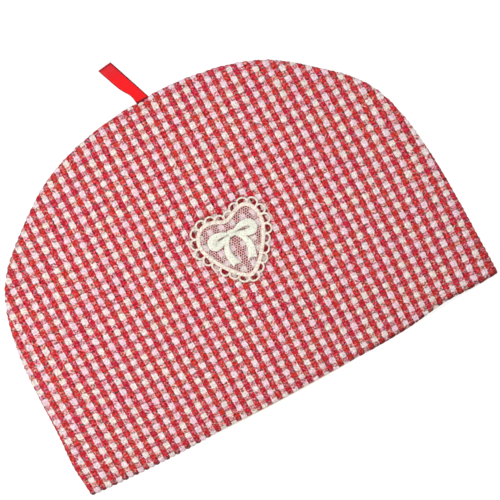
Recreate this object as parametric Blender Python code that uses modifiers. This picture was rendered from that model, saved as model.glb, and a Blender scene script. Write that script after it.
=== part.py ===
"""A tea cosy of checked cotton: two domed panels, each with its lining, sewn together along the arch,
a ribbon loop caught in the top of the seam, and a lace heart on the front.

Metres, +Z up. The hem stands on z = 0, the seam lies in the plane y = 0 and the front faces -Y.
"""
import math

import bmesh
import bpy

# The dome seen from the front
HALF_WIDTH = 0.1750
HEIGHT = 0.2455
SQUARENESS = 4.7
SHOULDER_HEIGHT = 0.211
SHOULDER_SPREAD = 0.025
SHOULDER_DROP = 0.063
APEX_SHIFT = 0.007
SHIFT_POWER = 5.0

# The dome seen from the side: half of the depth at the hem, and how it closes towards the seam
HALF_DEPTH = 0.043
TOP_LEAN = 0.20
CROWN_POWER = 0.85

# Thicknesses, and the gap kept between sewn pieces
CLOTH = 0.0030
LINING = 0.0010
GAP = 0.0003
LINING_RISE = 0.0010

# How finely a panel is divided: faces across, faces up, and where its grid corner lies on the arch
FACES_ACROSS = 22
FACES_UP = 14
SHOULDER_SHARE = 0.315
ARCH_STEPS = 360
OVERRUN = 0.006

# Soft swells and hollows of the cloth: place across and up, spread, and how far out it stands
FRONT_SWELLS = [
    {"across": -0.105, "up": 0.070, "spread": 0.048, "out": 0.0018},
    {"across": -0.045, "up": 0.165, "spread": 0.050, "out": -0.0015},
    {"across": 0.085, "up": 0.155, "spread": 0.046, "out": 0.0016},
    {"across": 0.110, "up": 0.045, "spread": 0.040, "out": -0.0014},
    {"across": 0.020, "up": 0.030, "spread": 0.042, "out": 0.0012},
]
BACK_SWELLS = [
    {"across": 0.100, "up": 0.080, "spread": 0.050, "out": 0.0017},
    {"across": 0.035, "up": 0.175, "spread": 0.048, "out": -0.0015},
    {"across": -0.090, "up": 0.140, "spread": 0.050, "out": 0.0014},
    {"across": -0.060, "up": 0.035, "spread": 0.040, "out": -0.0013},
]
SWELL_FADE = 0.35

# The ribbon loop
RIBBON_PLACE = 0.0018
RIBBON_HEIGHT = 0.0365
RIBBON_WIDTH = 0.0102
RIBBON_THICK = 0.0010
RIBBON_LEAN = -0.0128
RIBBON_SWAY = 0.06
RIBBON_BELLY = 0.0071
RIBBON_ROOT = 0.0022
CREST_TILT = math.radians(7.0)
RIBBON_STEPS = 34
RIBBON_STRIPS = 3
WAIST_HEIGHT = 0.28
WAIST_SPREAD = 0.20
WAIST_NARROWING = 0.10

# The lace heart: its place on the front, its lean and its thicknesses
HEART_ACROSS = 0.0120
HEART_UP = 0.1190
HEART_LEAN = math.radians(2.8)
HEART_KNOTS = [
    {"across": 0.0, "up": 0.0180, "in": (-0.0030, 0.0225), "out": (0.0030, 0.0225)},
    {"across": 0.0152, "up": 0.0252, "in": (0.0088, 0.0256), "out": (0.0222, 0.0248)},
    {"across": 0.0273, "up": 0.0098, "in": (0.0275, 0.0180), "out": (0.0271, 0.0008)},
    {"across": 0.0, "up": -0.0250, "in": (0.0078, -0.0247), "out": (-0.0078, -0.0247)},
]
HEART_STOPS = 240
HEART_SMOOTHING = 4
KNOT_STEPS = 60
BAND_WIDTH = 0.0031
BAND_THICK = 0.0013
NET_THICK = 0.0008
SCALLOPS = 21
SCALLOP_REACH = 0.0055
SCALLOP_ROUNDNESS = 0.6
NOTCH_GAP = 0.0076
NOTCH_BUMP = [
    {"across": -0.0019, "reach": 0.0014},
    {"across": -0.0010, "reach": 0.0024},
    {"across": 0.0010, "reach": 0.0024},
    {"across": 0.0019, "reach": 0.0014},
]
EYELET_LENGTH = 0.0044
EYELET_HEIGHT = 0.0030
EYELET_OUT = 0.0024
EYELET_POINTS = 10
POINTS_PER_SCALLOP = 8
LACE_GAP = 0.0004
LACE_CELL = 0.011
NET_CUTS = 2
INNER_POINTS = 60

# The bow: its knot, its two loops with a slit each, and its two tails
BOW_UP = 0.0092
KNOT_SIZE = (0.0030, 0.0026)
BOW_LOOPS = [
    {"side": -1, "length": 0.0190, "droop": -0.0010, "width": 0.0122},
    {"side": 1, "length": 0.0200, "droop": -0.0006, "width": 0.0116},
]
BOW_TAILS = [
    {"side": -1, "bulge": 0.0052, "end": 0.0056, "length": 0.0208, "start": 0.0018, "finish": 0.0054},
    {"side": 1, "bulge": 0.0062, "end": 0.0062, "length": 0.0214, "start": 0.0020, "finish": 0.0060},
]
TAIL_NOTCH = 0.0022
TAIL_TURN = 0.8
LOOP_FULLNESS = 0.62
SLIT_MIDDLE = 0.40
SLIT_REACH = 0.19
SLIT_OPENING = 0.07
LOOP_THICK = 0.0011
TAIL_THICK = 0.0009
KNOT_THICK = 0.0017
LAYER_STEP = 0.00004
LOOP_POINTS = 20
SLIT_POINTS = 10
KNOT_POINTS = 14
TAIL_STEPS = 12
WELD = 0.000005


def clear_scene():
    for thing in list(bpy.data.objects):
        bpy.data.objects.remove(thing, do_unlink=True)


def new_collection(name):
    collection = bpy.data.collections.new(name)
    bpy.context.scene.collection.children.link(collection)
    return collection


def linear(channel):
    """One 0 to 255 screen value as the linear value that a shader takes."""
    share = channel / 255
    return share / 12.92 if share <= 0.04045 else ((share + 0.055) / 1.055) ** 2.4


def cloth_material(name, screen_colour, roughness):
    material = bpy.data.materials.new(name)
    material.use_nodes = True
    shader = material.node_tree.nodes["Principled BSDF"]
    shader.inputs["Base Color"].default_value = [linear(c) for c in screen_colour] + [1.0]
    shader.inputs["Roughness"].default_value = roughness
    shader.inputs["Metallic"].default_value = 0.0
    return material


def add_object(name, mesh, collection, material=None):
    thing = bpy.data.objects.new(name, mesh)
    collection.objects.link(thing)
    if material:
        mesh.materials.append(material)
    return thing


def mesh_from(bm, name):
    mesh = bpy.data.meshes.new(name)
    bm.to_mesh(mesh)
    bm.free()
    return mesh


def box_cutter(name, low, high, collection):
    """A box between two corners, used only as a Boolean's cutter."""
    bm = bmesh.new()
    bmesh.ops.create_cube(bm, size=1.0)
    for vert in bm.verts:
        vert.co = [l + (c + 0.5) * (h - l) for l, h, c in zip(low, high, vert.co)]
    cutter = add_object(name, mesh_from(bm, name), collection)
    cutter.hide_render = True
    cutter.display_type = 'WIRE'
    return cutter


def add_boolean(thing, operation, cutter):
    boolean = thing.modifiers.new(operation.title() + " " + cutter.name, 'BOOLEAN')
    boolean.operation = operation
    boolean.object = cutter
    boolean.solver = 'EXACT'


def finished_mesh(thing):
    """The object's mesh with its modifiers applied, its coincident points welded."""
    depsgraph = bpy.context.evaluated_depsgraph_get()
    mesh = bpy.data.meshes.new_from_object(thing.evaluated_get(depsgraph))
    bm = bmesh.new()
    bm.from_mesh(mesh)
    bmesh.ops.remove_doubles(bm, verts=bm.verts, dist=WELD)
    bm.to_mesh(mesh)
    bm.free()
    return mesh


def half_width(z):
    """Half of the dome's width at a height, with the shoulders a little below a plain superellipse."""
    drop = SHOULDER_DROP * math.exp(-((z - SHOULDER_HEIGHT) / SHOULDER_SPREAD) ** 2)
    rise = min(1.0, max(0.0, z / HEIGHT))
    return HALF_WIDTH * (1 - drop) * math.sqrt(max(0.0, 1 - rise ** SQUARENESS))


def centre_line(z):
    """How far the dome's middle has moved to the right at a height."""
    return APEX_SHIFT * max(0.0, z / HEIGHT) ** SHIFT_POWER


def arch_points():
    """The seam line from the left hem corner over the top to the right one, as (length so far, x, z)."""
    points = []
    length = 0.0
    for step in range(ARCH_STEPS + 1):
        turn = math.pi * step / ARCH_STEPS
        z = HEIGHT * max(0.0, math.sin(turn)) ** (2 / SQUARENESS)
        if step in (0, ARCH_STEPS):
            z = 0.0
        x = centre_line(z) - math.copysign(half_width(z), math.cos(turn))
        if points:
            length += math.hypot(x - points[-1][1], z - points[-1][2])
        points.append((length, x, z))
    return points


ARCH = arch_points()


def arch_at(share):
    """The seam line's point at a share of its length."""
    target = share * ARCH[-1][0]
    for (start, x0, z0), (end, x1, z1) in zip(ARCH, ARCH[1:]):
        if end >= target:
            part = (target - start) / (end - start)
            return x0 + part * (x1 - x0), z0 + part * (z1 - z0)
    return ARCH[-1][1], ARCH[-1][2]


def arch_height(x):
    """The seam line's height above a place across, near the top."""
    for (_, x0, z0), (_, x1, z1) in zip(ARCH, ARCH[1:]):
        if x0 <= x <= x1 and z0 > SHOULDER_HEIGHT:
            return z0 + (z1 - z0) * (x - x0) / (x1 - x0)
    raise ValueError("no arch above this place")


def dome_grid_point(u, v):
    """A place inside the dome's outline for a panel grid's share across and share up (a Coons patch)."""
    left, right = arch_at(SHOULDER_SHARE * v), arch_at(1 - SHOULDER_SHARE * v)
    top = arch_at(SHOULDER_SHARE + (1 - 2 * SHOULDER_SHARE) * u)
    bottom = (HALF_WIDTH * (2 * u - 1), 0.0)
    corners = arch_at(0.0), arch_at(1.0), arch_at(SHOULDER_SHARE), arch_at(1 - SHOULDER_SHARE)
    place = []
    for k in range(2):
        sides = (1 - u) * left[k] + u * right[k] + (1 - v) * bottom[k] + v * top[k]
        low = (1 - u) * corners[0][k] + u * corners[1][k]
        high = (1 - u) * corners[2][k] + u * corners[3][k]
        place.append(sides - (1 - v) * low - v * high)
    return place


def depth_at(x, z, swells):
    """How far a panel's outer face stands from the seam's plane."""
    width = half_width(z)
    rise = min(1.0, max(0.0, z / HEIGHT))
    if width <= 0.0:
        return 0.0
    across = min(1.0, abs(x - centre_line(z)) / width)
    inside = (1 - across ** 2) * (1 - rise ** SQUARENESS)
    depth = HALF_DEPTH * (1 - TOP_LEAN * rise) * inside ** CROWN_POWER
    fade = min(1.0, inside / SWELL_FADE) ** 2
    for swell in swells:
        away = math.hypot(x - swell["across"], z - swell["up"]) / swell["spread"]
        depth += fade * swell["out"] * math.exp(-away ** 2)
    return depth


def panel_face(side, swells):
    """The outer face of one panel as an open sheet that overruns the seam and the hem, to be trimmed."""
    bm = bmesh.new()
    columns, rows = FACES_ACROSS + 2, FACES_UP + 2
    bmesh.ops.create_grid(bm, x_segments=columns, y_segments=rows, size=0.5)
    for vert in bm.verts:
        column = round((vert.co.x + 0.5) * columns) - 1
        row = round((vert.co.y + 0.5) * rows) - 1
        over_side = column < 0 or column > FACES_ACROSS
        u = min(max(column / FACES_ACROSS, 0.0), 1.0)
        v = min(max(row / FACES_UP, 0.0), 1.0)
        x, z = dome_grid_point(u, v)
        y = side * depth_at(x, z, swells)
        if over_side or row > FACES_UP:
            y = -side * OVERRUN
        vert.co = (x, y, -OVERRUN if row < 0 else z)
    bmesh.ops.remove_doubles(bm, verts=bm.verts, dist=0.0001)
    bmesh.ops.recalc_face_normals(bm, faces=bm.faces)
    bm.normal_update()
    if sum(face.normal.y for face in bm.faces) * side < 0:
        bmesh.ops.reverse_faces(bm, faces=bm.faces)
    return bm


def make_shell(name, side, swells, inset, thickness, hem, collection, cutters, material, slot=None):
    """One layer of a panel: the outer face thickened inwards, then trimmed flat at the seam and hem."""
    mesh = mesh_from(panel_face(side, swells), name)
    mesh.shade_smooth()
    shell = add_object(name, mesh, collection, material)
    solidify = shell.modifiers.new("Layer", 'SOLIDIFY')
    solidify.thickness = thickness
    solidify.offset = -1 - 2 * inset / thickness
    solidify.use_even_offset = True
    reach = 2 * HALF_WIDTH
    near, far = sorted((side * GAP / 2, side * reach))
    trim = box_cutter("trim_" + name, (-reach, near, hem), (reach, far, reach), cutters)
    if slot:
        add_boolean(shell, 'DIFFERENCE', slot)
    add_boolean(shell, 'INTERSECT', trim)
    return shell


def ribbon_width(share):
    """The ribbon's width at a share of its height: a slight waist where it twists."""
    waist = math.exp(-((share - WAIST_HEIGHT) / WAIST_SPREAD) ** 2)
    return RIBBON_WIDTH * (1 - WAIST_NARROWING * waist)


def ribbon_section(turn):
    """The loop seen from the side: (y, height) for a turn from 0 to 2 pi, a teardrop with a close root."""
    root = (RIBBON_THICK + GAP) / 2
    belly = RIBBON_BELLY * math.sin(turn) * math.sin(turn / 2) ** 2
    y = -belly - root * math.cos(turn / 2)
    return y, RIBBON_HEIGHT * (1 - math.cos(turn)) / 2


def make_ribbon(collection, material):
    bm = bmesh.new()
    bmesh.ops.create_grid(bm, x_segments=RIBBON_STEPS, y_segments=RIBBON_STRIPS, size=0.5)
    base = arch_height(RIBBON_PLACE)
    for vert in bm.verts:
        step = round((vert.co.x + 0.5) * RIBBON_STEPS)
        turn = 2 * math.pi * (step - 1) / (RIBBON_STEPS - 2)
        rooted = step in (0, RIBBON_STEPS)
        y, rise = ribbon_section(min(max(turn, 0.0), 2 * math.pi))
        share = rise / RIBBON_HEIGHT
        across = vert.co.y * ribbon_width(share)
        lean = RIBBON_LEAN * (share + RIBBON_SWAY * math.sin(2 * math.pi * share))
        lift = across * math.tan(CREST_TILT) * share
        z = base - RIBBON_ROOT if rooted else base + rise + lift
        vert.co = (RIBBON_PLACE + lean + across, y, z)
    mesh = mesh_from(bm, "ribbon_loop")
    mesh.shade_smooth()
    ribbon = add_object("ribbon_loop", mesh, collection, material)
    solidify = ribbon.modifiers.new("Ribbon", 'SOLIDIFY')
    solidify.thickness = RIBBON_THICK
    solidify.offset = 0.0
    solidify.use_even_offset = True
    return ribbon


def ribbon_slot(cutters):
    """The slot in the top seam that the ribbon's two ends go down into, a gap wider all round."""
    base = arch_height(RIBBON_PLACE)
    half = RIBBON_WIDTH / 2 + GAP
    deep = RIBBON_THICK + 1.5 * GAP
    low = (RIBBON_PLACE - half, -deep, base - CLOTH - 2 * GAP)
    high = (RIBBON_PLACE + half, deep, base + OVERRUN)
    return box_cutter("ribbon_slot", low, high, cutters)


def bezier_points(knots, steps):
    """Evenly stepped points along a closed run of Bezier knots."""
    points = []
    for knot, following in zip(knots, knots[1:] + knots[:1]):
        start, finish = (knot["across"], knot["up"]), (following["across"], following["up"])
        ends = [start, knot["out"], following["in"], finish]
        for step in range(steps):
            t = step / steps
            weights = ((1 - t) ** 3, 3 * t * (1 - t) ** 2, 3 * t * t * (1 - t), t ** 3)
            points.append(tuple(sum(w * e[k] for w, e in zip(weights, ends)) for k in range(2)))
    return points


def heart_outline():
    """The outer edge of the corded band, clockwise from the notch, its notch a little rounded."""
    mirrored = [
        {
            "across": -knot["across"],
            "up": knot["up"],
            "in": (-knot["out"][0], knot["out"][1]),
            "out": (-knot["in"][0], knot["in"][1]),
        }
        for knot in reversed(HEART_KNOTS[1:-1])
    ]
    sharp = [stop[0] for stop in walk(bezier_points(HEART_KNOTS + mirrored, KNOT_STEPS), HEART_STOPS)]
    window = range(-HEART_SMOOTHING, HEART_SMOOTHING + 1)
    outline = []
    for index in range(HEART_STOPS):
        near = [sharp[(index + shift) % HEART_STOPS] for shift in window]
        outline.append(tuple(sum(point[k] for point in near) / len(near) for k in range(2)))
    return outline


def walk(points, count, margin=0.0):
    """Stops at equal lengths round a closed clockwise line: place, direction along, direction outwards.

    A margin leaves out that much of the line on both sides of its first point.
    """
    closed = points + points[:1]
    lengths = [math.dist(a, b) for a, b in zip(closed, closed[1:])]
    span = sum(lengths) - 2 * margin
    stops = []
    index, passed = 0, 0.0
    for stop in range(count):
        target = margin + span * stop / count
        while passed + lengths[index] < target:
            passed += lengths[index]
            index += 1
        a, b = closed[index], closed[index + 1]
        part = (target - passed) / lengths[index]
        along = ((b[0] - a[0]) / lengths[index], (b[1] - a[1]) / lengths[index])
        place = (a[0] + part * (b[0] - a[0]), a[1] + part * (b[1] - a[1]))
        stops.append((place, along, (-along[1], along[0])))
    return stops


def offset_line(points, count, distance):
    """The closed line moved outwards, or inwards where the distance is below zero."""
    moved = []
    for place, _, outward in walk(points, count):
        moved.append((place[0] + distance * outward[0], place[1] + distance * outward[1]))
    return moved


def scallop_edge(outline):
    """The outer edge of the loops: one round bump for each, and a low one in the heart's notch."""
    edge = []
    stops = walk(outline, SCALLOPS * POINTS_PER_SCALLOP, NOTCH_GAP / 2)
    for index, (place, _, outward) in enumerate(stops):
        share = (index % POINTS_PER_SCALLOP) / POINTS_PER_SCALLOP
        reach = SCALLOP_REACH * math.sin(math.pi * share) ** SCALLOP_ROUNDNESS + GAP
        edge.append((place[0] + reach * outward[0], place[1] + reach * outward[1]))
    notch = outline[0]
    for point in NOTCH_BUMP:
        edge.append((notch[0] + point["across"], notch[1] + point["reach"]))
    return edge


def eyelets(outline):
    """The open oval in each loop."""
    ovals = []
    for place, along, outward in walk(outline, SCALLOPS * 2, NOTCH_GAP / 2)[1::2]:
        oval = []
        for step in range(EYELET_POINTS):
            turn = 2 * math.pi * step / EYELET_POINTS
            run = EYELET_LENGTH / 2 * math.cos(turn)
            out = EYELET_OUT + EYELET_HEIGHT / 2 * math.sin(turn)
            oval.append(tuple(place[k] + run * along[k] + out * outward[k] for k in range(2)))
        ovals.append(oval)
    return ovals


def flat_piece(name, outlines, low, high):
    """A flat solid between two heights from closed outlines, as a filled curve made into a mesh."""
    curve = bpy.data.curves.new(name, 'CURVE')
    curve.dimensions = '2D'
    curve.fill_mode = 'BOTH'
    curve.extrude = (high - low) / 2
    for outline in outlines:
        spline = curve.splines.new('POLY')
        spline.points.add(len(outline) - 1)
        for point, (across, up) in zip(spline.points, outline):
            point.co = (across, up, 0.0, 1.0)
        spline.use_cyclic_u = True
    thing = bpy.data.objects.new(name, curve)
    bpy.context.scene.collection.objects.link(thing)
    mesh = finished_mesh(thing)
    bpy.data.objects.remove(thing, do_unlink=True)
    for vert in mesh.vertices:
        vert.co.z += (low + high) / 2
    return mesh


def lay_on_front(mesh, height, cuts=0):
    """Bend a flat piece of lace onto the front panel, its underside at a height above the cloth.

    A wide piece is first divided by cuts each way, so that its faces follow the panel's curve.
    """
    bm = bmesh.new()
    bm.from_mesh(mesh)
    for normal in ((1.0, 0.0, 0.0), (0.0, 1.0, 0.0)):
        for cut in range(-cuts, cuts + 1):
            place = [LACE_CELL * cut * share for share in normal]
            geometry = bm.verts[:] + bm.edges[:] + bm.faces[:]
            bmesh.ops.bisect_plane(bm, geom=geometry, plane_co=place, plane_no=normal, dist=WELD)
    for vert in bm.verts:
        across, up, above = vert.co
        x = HEART_ACROSS + across * math.cos(HEART_LEAN) + up * math.sin(HEART_LEAN)
        z = HEART_UP - across * math.sin(HEART_LEAN) + up * math.cos(HEART_LEAN)
        vert.co = (x, -depth_at(x, z, FRONT_SWELLS) - height - above, z)
    bmesh.ops.recalc_face_normals(bm, faces=bm.faces)
    bm.to_mesh(mesh)
    bm.free()
    return mesh


def make_edging(collection, material):
    outline = heart_outline()
    inner = offset_line(outline, INNER_POINTS, -BAND_WIDTH)
    outlines = [scallop_edge(outline), inner] + eyelets(outline)
    mesh = flat_piece("heart_edging", outlines, 0.0, BAND_THICK)
    return add_object("heart_edging", lay_on_front(mesh, LACE_GAP), collection, material)


def make_net(collection, material):
    outline = offset_line(heart_outline(), INNER_POINTS, -BAND_WIDTH - GAP)
    mesh = flat_piece("heart_net", [outline], 0.0, NET_THICK)
    return add_object("heart_net", lay_on_front(mesh, LACE_GAP, NET_CUTS), collection, material)


def bow_loop(loop):
    """One loop of the bow, a teardrop from the knot outwards, and the slit that shows in it."""
    outer, slit = [], []
    for step in range(LOOP_POINTS):
        turn = 2 * math.pi * step / LOOP_POINTS
        reach = (1 - math.cos(turn)) / 2
        swell = LOOP_FULLNESS * loop["width"] * math.sin(turn) * math.sin(turn / 2)
        across = loop["side"] * loop["length"] * reach
        outer.append((across, BOW_UP + loop["droop"] * reach + swell))
    for step in range(SLIT_POINTS):
        turn = 2 * math.pi * step / SLIT_POINTS
        reach = SLIT_MIDDLE + SLIT_REACH * math.cos(turn)
        opening = SLIT_OPENING * loop["width"] * math.sin(turn)
        slit.append((loop["side"] * loop["length"] * reach, BOW_UP + loop["droop"] * reach + opening))
    return outer, slit


def bow_tail(tail):
    """One tail of the bow: it bows outwards, turns back in, widens and ends in a notch."""
    left, right = [], []
    for step in range(TAIL_STEPS + 1):
        share = step / TAIL_STEPS
        bulge = tail["bulge"] * math.sin(math.pi * share ** TAIL_TURN)
        across = tail["side"] * (bulge + tail["end"] * share)
        up = BOW_UP - tail["length"] * share
        half = (tail["start"] + (tail["finish"] - tail["start"]) * share) / 2
        left.append((across - half, up))
        right.append((across + half, up))
    notch = (tail["side"] * tail["end"], BOW_UP - tail["length"] + TAIL_NOTCH)
    return left + [notch] + right[::-1]


def make_bow(collection, cutters, material):
    """The bow as one solid: its knot joined with its loops and tails, each layer a little higher."""
    knot = []
    for step in range(KNOT_POINTS):
        turn = 2 * math.pi * step / KNOT_POINTS
        knot.append((KNOT_SIZE[0] * math.cos(turn), BOW_UP + KNOT_SIZE[1] * math.sin(turn)))
    bow = add_object("bow_knot", flat_piece("bow_knot", [knot], 0.0, KNOT_THICK), cutters)
    layers = [(bow_loop(loop), LOOP_THICK) for loop in BOW_LOOPS]
    layers += [([bow_tail(tail)], TAIL_THICK) for tail in BOW_TAILS]
    helpers = []
    for number, (outlines, thick) in enumerate(layers, start=1):
        low = LAYER_STEP * number
        mesh = flat_piece("bow_layer_%d" % number, outlines, low, low + thick)
        helpers.append(add_object(mesh.name, mesh, cutters))
        add_boolean(bow, 'UNION', helpers[-1])
    mesh = finished_mesh(bow)
    mesh.name = "heart_bow"
    for helper in helpers + [bow]:
        bpy.data.objects.remove(helper, do_unlink=True)
    height = LACE_GAP + NET_THICK + LACE_GAP
    return add_object("heart_bow", lay_on_front(mesh, height), collection, material)


def main():
    clear_scene()
    parts = new_collection("tea_cosy")
    cutters = new_collection("cutters")
    checks = cloth_material("checked_cotton", (201, 104, 110), 0.9)
    cream = cloth_material("cream_lining", (240, 229, 206), 0.9)
    satin = cloth_material("red_satin", (238, 38, 44), 0.4)
    lace = cloth_material("ivory_lace", (248, 238, 214), 0.8)
    net = cloth_material("ivory_net", (214, 186, 178), 0.9)
    slot = ribbon_slot(cutters)
    for name, side, swells in (("front", -1, FRONT_SWELLS), ("back", 1, BACK_SWELLS)):
        make_shell("panel_" + name, side, swells, 0.0, CLOTH, 0.0, parts, cutters, checks, slot)
        make_shell("lining_" + name, side, swells, CLOTH + GAP, LINING, LINING_RISE, parts, cutters, cream)
    make_ribbon(parts, satin)
    make_edging(parts, lace)
    make_net(parts, net)
    make_bow(parts, cutters, lace)


main()
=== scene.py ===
# %% [markdown]
# # A tea cosy of checked cotton
# A tea cosy is a quilted cloth dome that keeps a teapot warm. Two arched panels are sewn
# together along the arch, turned right side out, lined, and stand on their hem. This lesson
# dresses a plain solid model of one: checked cloth, its lining, a ribbon loop and a lace heart.
# The solid model is loaded first and never moves. Every piece below is made in its coordinates,
# in metres, with +Z up, the hem on z = 0, the seam in the plane y = 0 and the front facing -Y.

# %% Load the solid model
import itertools
import math

import bpy
import numpy as np
from mathutils import Matrix


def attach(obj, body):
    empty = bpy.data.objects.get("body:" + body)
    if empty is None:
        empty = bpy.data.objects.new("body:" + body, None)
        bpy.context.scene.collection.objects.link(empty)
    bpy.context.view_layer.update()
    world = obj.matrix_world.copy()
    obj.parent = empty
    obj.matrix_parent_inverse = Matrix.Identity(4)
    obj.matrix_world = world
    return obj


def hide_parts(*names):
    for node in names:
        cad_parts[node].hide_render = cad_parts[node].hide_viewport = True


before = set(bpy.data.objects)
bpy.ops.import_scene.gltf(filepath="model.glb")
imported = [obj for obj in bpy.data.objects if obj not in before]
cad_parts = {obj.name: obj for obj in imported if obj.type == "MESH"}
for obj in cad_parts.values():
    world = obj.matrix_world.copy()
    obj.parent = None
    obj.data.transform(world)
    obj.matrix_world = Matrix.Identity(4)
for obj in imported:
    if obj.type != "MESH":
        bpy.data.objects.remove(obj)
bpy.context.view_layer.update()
scene = bpy.context.scene

# %% [markdown]
# ## The camera
# The cosy is seen from the front and slightly above, and the whole picture is rolled, so that
# the hem climbs to the right. A long lens keeps the hem and the arch in true proportion, which
# is how small goods are usually photographed. The roll turns the camera about its own line of
# sight, so its right and up directions are mixes of the unrolled ones.

# %% Camera
def add_object(name, data):
    """A new object of the scene for a mesh, a light or a camera."""
    thing = bpy.data.objects.new(name, data)
    scene.collection.objects.link(thing)
    return thing


def axes_matrix(right, up, back, place):
    """Where a camera or light stands, from its own three directions and its place."""
    columns = np.eye(4)
    columns[:3] = np.stack([right, up, back, place], -1)
    return Matrix(columns.tolist())


AIM = np.array([0.0189, 0.0, 0.1062])
ELEVATION = math.radians(7.2)
ROLL = math.radians(28.75)
LENS = 600.0
SENSOR = 36.0
VIEW_WIDTH = 0.3770
distance = VIEW_WIDTH * LENS / SENSOR

to_camera = np.array([0.0, -math.cos(ELEVATION), math.sin(ELEVATION)])
level_right = np.array([1.0, 0.0, 0.0])
level_up = np.cross(to_camera, level_right)
camera_place = AIM + distance * to_camera
camera_right = math.cos(ROLL) * level_right - math.sin(ROLL) * level_up
camera_up = math.sin(ROLL) * level_right + math.cos(ROLL) * level_up

camera_data = bpy.data.cameras.new("camera")
camera_data.lens = LENS
camera_data.sensor_width = SENSOR
camera = add_object("camera", camera_data)
camera.matrix_world = axes_matrix(camera_right, camera_up, to_camera, camera_place)
bpy.context.scene.camera = camera
print("camera at", camera_place.round(3), "looking down", round(math.degrees(ELEVATION), 1), "degrees")

# %% [markdown]
# ## Light
# Small textile goods are lit with big soft sources, so that colours read evenly and only the
# puffed squares of the cloth cast a little shade. An even white surrounding does most of it, and
# one large soft light from the upper left in front gives the relief its direction.

# %% Light
SURROUNDING = 0.62
KEY_PLACE = (-0.9, -1.5, 1.6)
KEY_SIZE = 0.8
KEY_POWER = 22.0
scene.view_settings.view_transform = 'Standard'
world = bpy.data.worlds.new("white_surrounding")
world.use_nodes = True
background = world.node_tree.nodes["Background"]
background.inputs["Color"].default_value = (1.0, 1.0, 1.0, 1.0)
background.inputs["Strength"].default_value = SURROUNDING
scene.world = world


def soft_light(name, place, size, power):
    """A square light at a place, aimed at the middle of the cosy."""
    lamp = bpy.data.lights.new(name, 'AREA')
    lamp.size = size
    lamp.energy = power
    away = np.array(place) - AIM
    away /= np.linalg.norm(away)
    side = np.cross([0.0, 0.0, 1.0], away)
    side /= np.linalg.norm(side)
    add_object(name, lamp).matrix_world = axes_matrix(side, np.cross(away, side), away, place)


soft_light("key_light", KEY_PLACE, KEY_SIZE, KEY_POWER)
print("a white surrounding and one soft light of", KEY_POWER, "watts")


# %% [markdown]
# ## Shader maths as plain expressions
# A fabric's look is arithmetic on coordinates: where a red band runs, which yarn lies on top, how
# dark the groove between two squares is. The class below wraps one socket of a material's nodes,
# so that such arithmetic can be written as Python expressions. Each operator adds one Math node.
# Every other node comes from one method, which takes the node's type, settings and sockets.

# %% A wrapper for sockets
class Thread:
    """One value, colour or vector that runs between the nodes of a material."""

    def __init__(self, tree, socket=None):
        self.tree = tree
        self.socket = socket

    def node(self, kind, settings=None, sockets=None, output=0):
        """Add a node: its settings first, then the values or threads of its sockets."""
        made = self.tree.nodes.new("ShaderNode" + kind)
        for name, value in (settings or {}).items():
            if name == "stops":
                ramp = made.color_ramp
                while len(ramp.elements) < len(value):
                    ramp.elements.new(0.5)
                for element, (place, colour) in zip(ramp.elements, value):
                    element.position = place
                    element.color = colour
            else:
                setattr(made, name, value)
        for name, value in (sockets or {}).items():
            if isinstance(value, Thread):
                self.tree.links.new(value.socket, made.inputs[name])
            else:
                made.inputs[name].default_value = value
        return Thread(self.tree, made.outputs[output])

    def maths(self, operation, *values):
        return self.node("Math", {"operation": operation}, dict(enumerate(values)))

    def __add__(self, other):
        return self.maths('ADD', self, other)

    __radd__ = __add__

    def __sub__(self, other):
        return self.maths('SUBTRACT', self, other)

    def __rsub__(self, other):
        return self.maths('SUBTRACT', other, self)

    def __mul__(self, other):
        return self.maths('MULTIPLY', self, other)

    __rmul__ = __mul__

    def __pow__(self, other):
        return self.maths('POWER', self, other)

    def __neg__(self):
        return self.maths('MULTIPLY', self, -1.0)

    def sine(self):
        return self.maths('SINE', self)

    def size(self):
        return self.maths('ABSOLUTE', self)

    def floor(self):
        return self.maths('FLOOR', self)

    def larger(self, other):
        return self.maths('MAXIMUM', self, other)

    def part(self, index):
        """One of the three values of a vector."""
        return self.node("SeparateXYZ", None, {0: self}, index)

    def ramp(self, start, finish):
        """0 before start, 1 after finish, and a smooth change between."""
        settings = {"interpolation_type": 'SMOOTHSTEP', "clamp": True}
        sockets = {"Value": self, "From Min": start, "From Max": finish}
        return self.node("MapRange", settings, sockets)

    def tint(self, plain, other):
        """A colour that goes from plain to other as this value goes from 0 to 1."""
        sockets = {"Factor": self, 6: plain, 7: other}
        return self.node("Mix", {"data_type": 'RGBA'}, sockets, 2)

    def darken(self, amount):
        """This colour times a grey amount, as a thread of values."""
        sockets = {0: self, "Scale": amount}
        return self.node("VectorMath", {"operation": 'SCALE'}, sockets)


def screen(red, green, blue):
    """A colour given in 0 to 255 screen values, as the linear colour a shader takes."""
    linear = []
    for channel in (red, green, blue):
        share = channel / 255
        linear.append(share / 12.92 if share <= 0.04045 else ((share + 0.055) / 1.055) ** 2.4)
    return linear + [1.0]


def new_material(name, roughness, sheen=0.0, specular=0.3):
    """A material, its shader with the even values set, and a thread to start its nodes from."""
    material = bpy.data.materials.new(name)
    material.use_nodes = True
    shader = material.node_tree.nodes["Principled BSDF"]
    shader.inputs["Roughness"].default_value = roughness
    shader.inputs["Sheen Weight"].default_value = sheen
    shader.inputs["Specular IOR Level"].default_value = specular
    return material, shader, Thread(material.node_tree)


def connect(shader, name, thread):
    """Let a thread feed one socket of the shader."""
    thread.tree.links.new(thread.socket, shader.inputs[name])


def fine_relief(shader, height, strength, distance):
    """Relief too fine for the mesh, which only the light shows, from a thread of heights."""
    sockets = {"Strength": strength, "Distance": distance, "Height": height}
    connect(shader, "Normal", height.node("Bump", None, sockets))


print("shader maths ready, for example cream is", np.round(screen(240, 226, 216), 2))

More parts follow.
